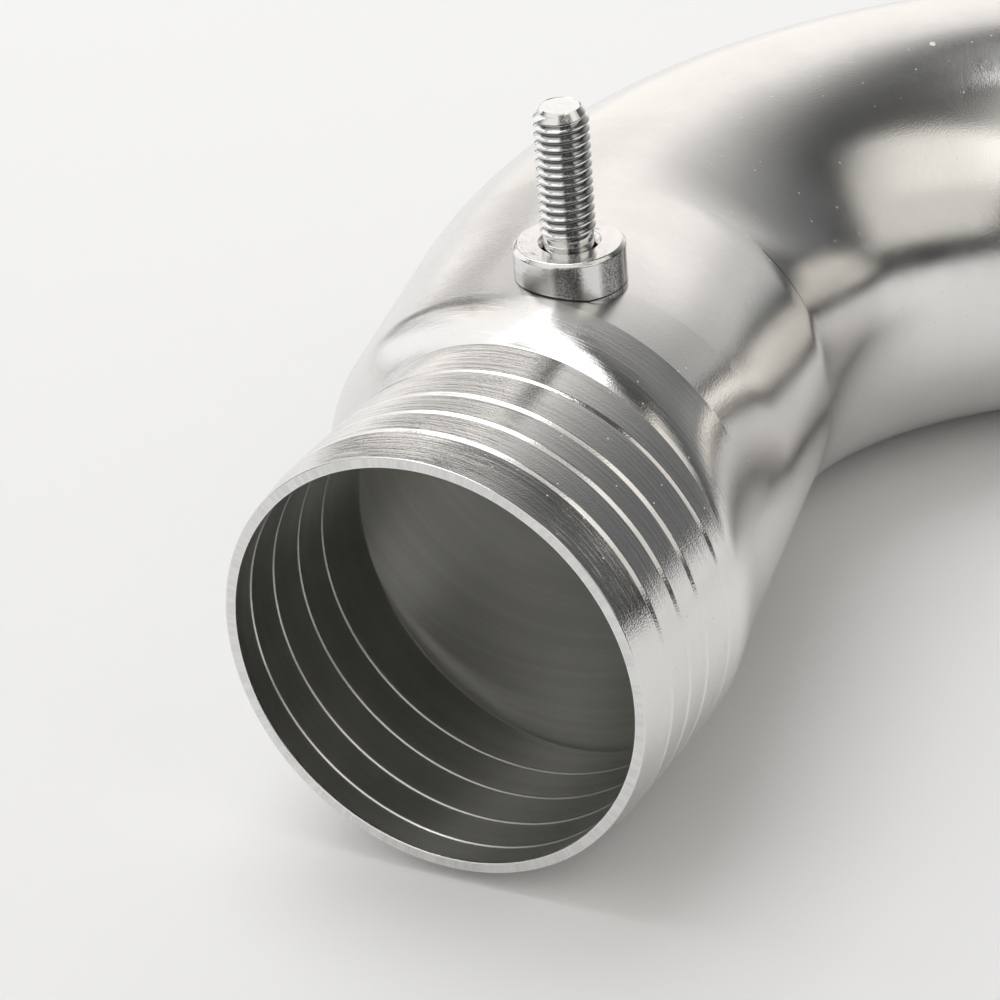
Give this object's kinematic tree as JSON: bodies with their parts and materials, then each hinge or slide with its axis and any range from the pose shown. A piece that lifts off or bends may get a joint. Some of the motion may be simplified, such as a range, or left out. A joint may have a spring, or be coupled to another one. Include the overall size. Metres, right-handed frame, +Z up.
{
  "type": "cold air intake pipe",
  "caption": "Bent polished aluminium tube with a ringed hose neck set at a small angle, a plain outlet leg and a threaded stud on a round boss, which carries air to an engine.",
  "frame": {"origin": "on the floor under the middle of the pipe's box, as it lies on its side", "axes": "+Z up along the stud, +Y along the straight tube away from the neck's mouth, +X out of the outlet leg"},
  "size_m": [0.1138, 0.1514, 0.07],
  "materials": {
    "polished_tube": "polished, with faint brushing around the neck",
    "turned_boss": "turned bright",
    "thread_steel": "bright zinc"
  },
  "bodies": {
    "root": {"inlet_neck": "polished_tube", "bend_tube": "polished_tube", "stud_boss": "turned_boss", "mount_stud": "thread_steel"}
  },
  "joints": []
}
